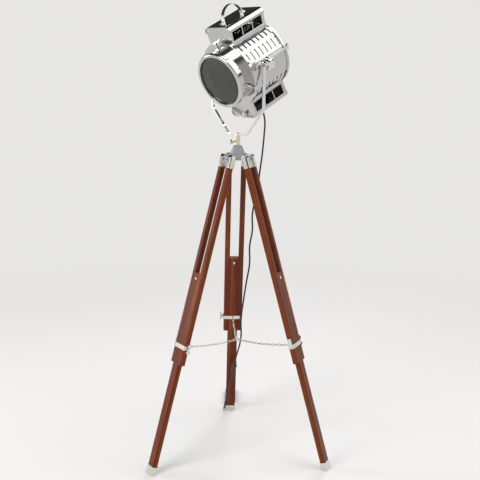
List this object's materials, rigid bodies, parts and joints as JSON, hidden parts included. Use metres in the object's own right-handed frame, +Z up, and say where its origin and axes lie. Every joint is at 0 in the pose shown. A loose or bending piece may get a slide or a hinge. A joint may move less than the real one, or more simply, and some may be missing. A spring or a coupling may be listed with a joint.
{
  "type": "floor lamp",
  "caption": "Drum spotlight with vent boxes in a tilting yoke on a folding wooden tripod with telescoping legs, chains and corded switch",
  "frame": {"origin": "on the floor under the upright spigot's axis", "axes": "+Z up along the spigot; +Y towards the back leg; -Y towards the open side between the two front legs"},
  "size_m": [0.6744, 0.7711, 1.6442],
  "materials": {
    "oiled_wood": "oiled, satin",
    "nickel_fitting": "nickel plated",
    "hub_casting": "grey satin",
    "polished_steel": "polished",
    "polished_aluminium": "polished and plated",
    "clear_glass": "clear",
    "holder_ceramic": "glazed ceramic",
    "black_flex": "smooth sheath",
    "black_plastic": "semi-gloss"
  },
  "bodies": {
    "stand": {"hub": "hub_casting", "spigot": "nickel_fitting", "chain_back": "nickel_fitting", "chain_left": "nickel_fitting", "chain_right": "nickel_fitting", "chain_ring": "nickel_fitting", "cord_floor": "black_flex", "cord_coil": "black_flex", "plug": "black_plastic"},
    "yoke_body": {"yoke": "polished_steel", "socket": "nickel_fitting", "yoke_bolt": "nickel_fitting", "cord_upper": "black_flex"},
    "head": {"drum_shell": "polished_aluminium", "front_flange": "polished_aluminium", "barrel": "polished_aluminium", "lens_bezel": "polished_aluminium", "lens": "clear_glass", "rear_cap": "polished_aluminium", "side_rails": "polished_steel", "pivot_studs": "polished_steel", "top_vent": "polished_aluminium", "top_vent_roof": "polished_aluminium", "bottom_vent": "polished_aluminium", "bottom_vent_roof": "polished_aluminium", "handle": "polished_steel", "lamp_holder": "holder_ceramic", "bulb": "clear_glass", "reflector": "polished_aluminium", "gland": "black_flex"},
    "socket_screw": {"thumb_screw": "nickel_fitting"},
    "left_knob": {"tilt_knob_left": "polished_steel"},
    "right_knob": {"tilt_knob_right": "polished_steel"},
    "rocker": {"switch_rocker": "black_plastic"},
    "leg_back": {"rails_back": "oiled_wood", "ferrules_back": "nickel_fitting", "hinge_bolt_back": "nickel_fitting", "clamp_back": "nickel_fitting", "cord_lower": "black_flex", "switch_body": "black_plastic"},
    "lower_back": {"lower_leg_back": "oiled_wood", "guide_screw_back": "nickel_fitting", "foot_back": "nickel_fitting"},
    "wing_back": {"wing_screw_back": "nickel_fitting"},
    "leg_left": {"rails_left": "oiled_wood", "ferrules_left": "nickel_fitting", "hinge_bolt_left": "nickel_fitting", "clamp_left": "nickel_fitting"},
    "lower_left": {"lower_leg_left": "oiled_wood", "guide_screw_left": "nickel_fitting", "foot_left": "nickel_fitting"},
    "wing_left": {"wing_screw_left": "nickel_fitting"},
    "leg_right": {"rails_right": "oiled_wood", "ferrules_right": "nickel_fitting", "hinge_bolt_right": "nickel_fitting", "clamp_right": "nickel_fitting"},
    "lower_right": {"lower_leg_right": "oiled_wood", "guide_screw_right": "nickel_fitting", "foot_right": "nickel_fitting"},
    "wing_right": {"wing_screw_right": "nickel_fitting"}
  },
  "joints": [
    {"name": "head_pan", "type": "hinge", "parent": "stand", "child": "yoke_body", "pos_m": [0, 0, 1.16113], "axis": [0, 0, 1], "range_deg": [-175, 175], "deforming": ["cord_lower"]},
    {"name": "head_tilt", "type": "hinge", "parent": "yoke_body", "child": "head", "pos_m": [0, 0, 1.44693], "axis": [0.6441, -0.7649, 0], "range_deg": [-85, 50], "deforming": ["cord_upper"]},
    {"name": "thumb_screw_turn", "type": "hinge", "parent": "yoke_body", "child": "socket_screw", "pos_m": [0, 0, 1.17313], "axis": [-0.9963, 0.0854, 0], "range_deg": [0, 360]},
    {"name": "tilt_knob_left_turn", "type": "hinge", "parent": "head", "child": "left_knob", "pos_m": [-0.09662, 0.11474, 1.44693], "axis": [-0.6441, 0.7649, 0], "range_deg": [0, 360]},
    {"name": "tilt_knob_right_turn", "type": "hinge", "parent": "head", "child": "right_knob", "pos_m": [0.09662, -0.11474, 1.44693], "axis": [0.6441, -0.7649, 0], "range_deg": [0, 360]},
    {"name": "leg_fold_back", "type": "hinge", "parent": "stand", "child": "leg_back", "pos_m": [0, 0.04, 1.11913], "axis": [-1, 0, 0], "range_deg": [0, 16], "deforming": ["chain_back", "cord_lower", "cord_floor"]},
    {"name": "leg_slide_back", "type": "slide", "parent": "leg_back", "child": "lower_back", "axis": [0, 0.2807, -0.9598], "range_m": [-0.3, 0.12]},
    {"name": "wing_screw_back_turn", "type": "hinge", "parent": "leg_back", "child": "wing_back", "pos_m": [0, 0.23366, 0.45687], "axis": [-1, 0, 0], "range_deg": [0, 360]},
    {"name": "leg_fold_left", "type": "hinge", "parent": "stand", "child": "leg_left", "pos_m": [-0.03464, -0.02, 1.11913], "axis": [0.5, -0.866, 0], "range_deg": [0, 16], "deforming": ["chain_left"]},
    {"name": "leg_slide_left", "type": "slide", "parent": "leg_left", "child": "lower_left", "axis": [-0.2431, -0.1403, -0.9598], "range_m": [-0.3, 0.12]},
    {"name": "wing_screw_left_turn", "type": "hinge", "parent": "leg_left", "child": "wing_left", "pos_m": [-0.20236, -0.11683, 0.45687], "axis": [0.5, -0.866, 0], "range_deg": [0, 360]},
    {"name": "leg_fold_right", "type": "hinge", "parent": "stand", "child": "leg_right", "pos_m": [0.03464, -0.02, 1.11913], "axis": [0.5, 0.866, 0], "range_deg": [0, 16], "deforming": ["chain_right"]},
    {"name": "leg_slide_right", "type": "slide", "parent": "leg_right", "child": "lower_right", "axis": [0.2431, -0.1403, -0.9598], "range_m": [-0.3, 0.12]},
    {"name": "wing_screw_right_turn", "type": "hinge", "parent": "leg_right", "child": "wing_right", "pos_m": [0.20236, -0.11683, 0.45687], "axis": [0.5, 0.866, 0], "range_deg": [0, 360]},
    {"name": "switch_rock", "type": "hinge", "parent": "leg_back", "child": "rocker", "pos_m": [0.00743, 0.25657, 0.23522], "axis": [0.0209, 0.9718, 0.2347], "range_deg": [-14, 0]}
  ]
}
